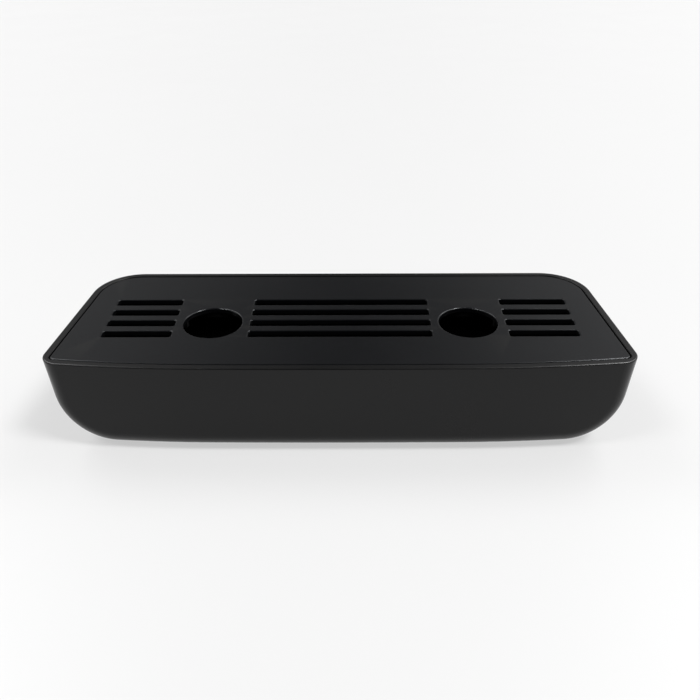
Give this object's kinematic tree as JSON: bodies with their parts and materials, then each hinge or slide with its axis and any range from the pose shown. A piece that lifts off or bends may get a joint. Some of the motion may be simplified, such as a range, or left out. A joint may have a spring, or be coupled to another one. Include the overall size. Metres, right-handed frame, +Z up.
{
  "type": "drip tray",
  "caption": "Low black bar drip tray with a bowed front, rounded lower corners and a flush lift-out grille plate with slots and finger holes.",
  "frame": {"origin": "centre of the footprint, on the surface that the tray stands on", "axes": "+X to the right along the tray's length, +Y to the straight far edge, away from the bowed near edge, +Z up"},
  "size_m": [0.2878, 0.101, 0.05],
  "materials": {
    "tray_plastic": "satin moulded",
    "grille_plastic": "satin moulded",
    "pad_silicone": "matte",
    "foot_rubber": "matte"
  },
  "bodies": {
    "tray": {"tray_body": "tray_plastic", "plate_pad_far_left": "pad_silicone", "plate_pad_far_middle": "pad_silicone", "plate_pad_far_right": "pad_silicone", "plate_pad_near_left": "pad_silicone", "plate_pad_near_middle": "pad_silicone", "plate_pad_near_right": "pad_silicone", "foot_far_left": "foot_rubber", "foot_far_right": "foot_rubber", "foot_near_left": "foot_rubber", "foot_near_right": "foot_rubber"},
    "grille": {"grille_plate": "grille_plastic"}
  },
  "joints": [
    {"name": "grille_lift", "type": "slide", "parent": "tray", "child": "grille", "axis": [0, 0, 1], "range_m": [0, 0.06]}
  ]
}
